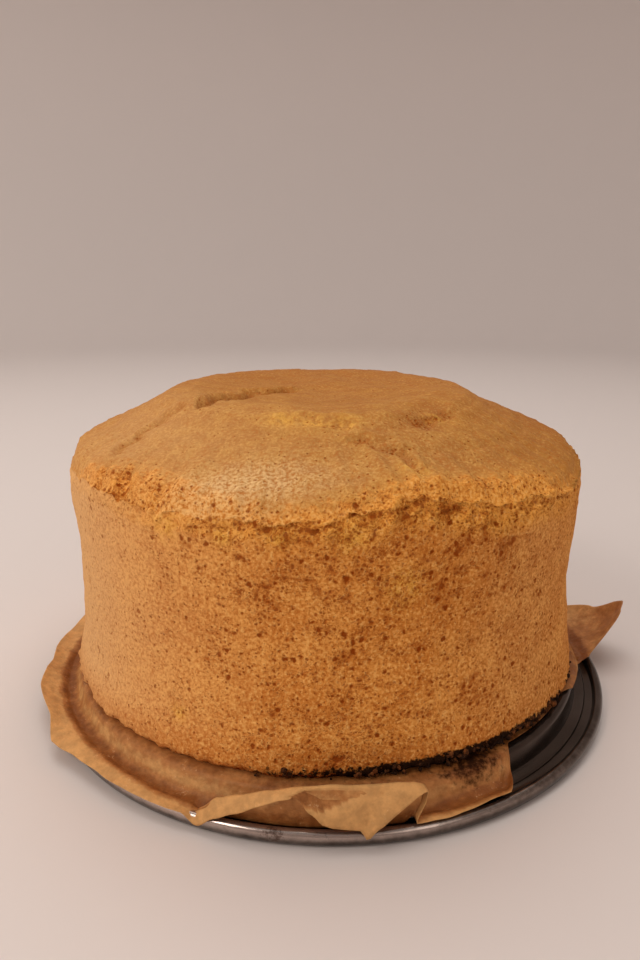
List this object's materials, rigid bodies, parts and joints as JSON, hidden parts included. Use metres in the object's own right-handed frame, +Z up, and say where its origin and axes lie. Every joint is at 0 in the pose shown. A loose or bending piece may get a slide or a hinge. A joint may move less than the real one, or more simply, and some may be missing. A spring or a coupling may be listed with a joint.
{
  "type": "sponge cake",
  "caption": "Tall round sponge cake with a browned, gently domed crust, resting on baking paper and the flat metal base of its springform tin",
  "frame": {"origin": "on the table, under the middle of the outline of the whole thing", "axes": "+Z up; the side that the picture shows faces -Y; +X to the right of it"},
  "size_m": [0.2322, 0.2158, 0.115],
  "materials": {
    "sponge": "porous golden brown crumb and crust, matte",
    "baking_paper": "brown unbleached baking paper, slightly greasy",
    "tin_steel": "dark coated sheet steel, satin"
  },
  "bodies": {
    "root": {"sponge_cake": "sponge", "baking_paper": "baking_paper", "tin_base": "tin_steel"}
  },
  "joints": []
}
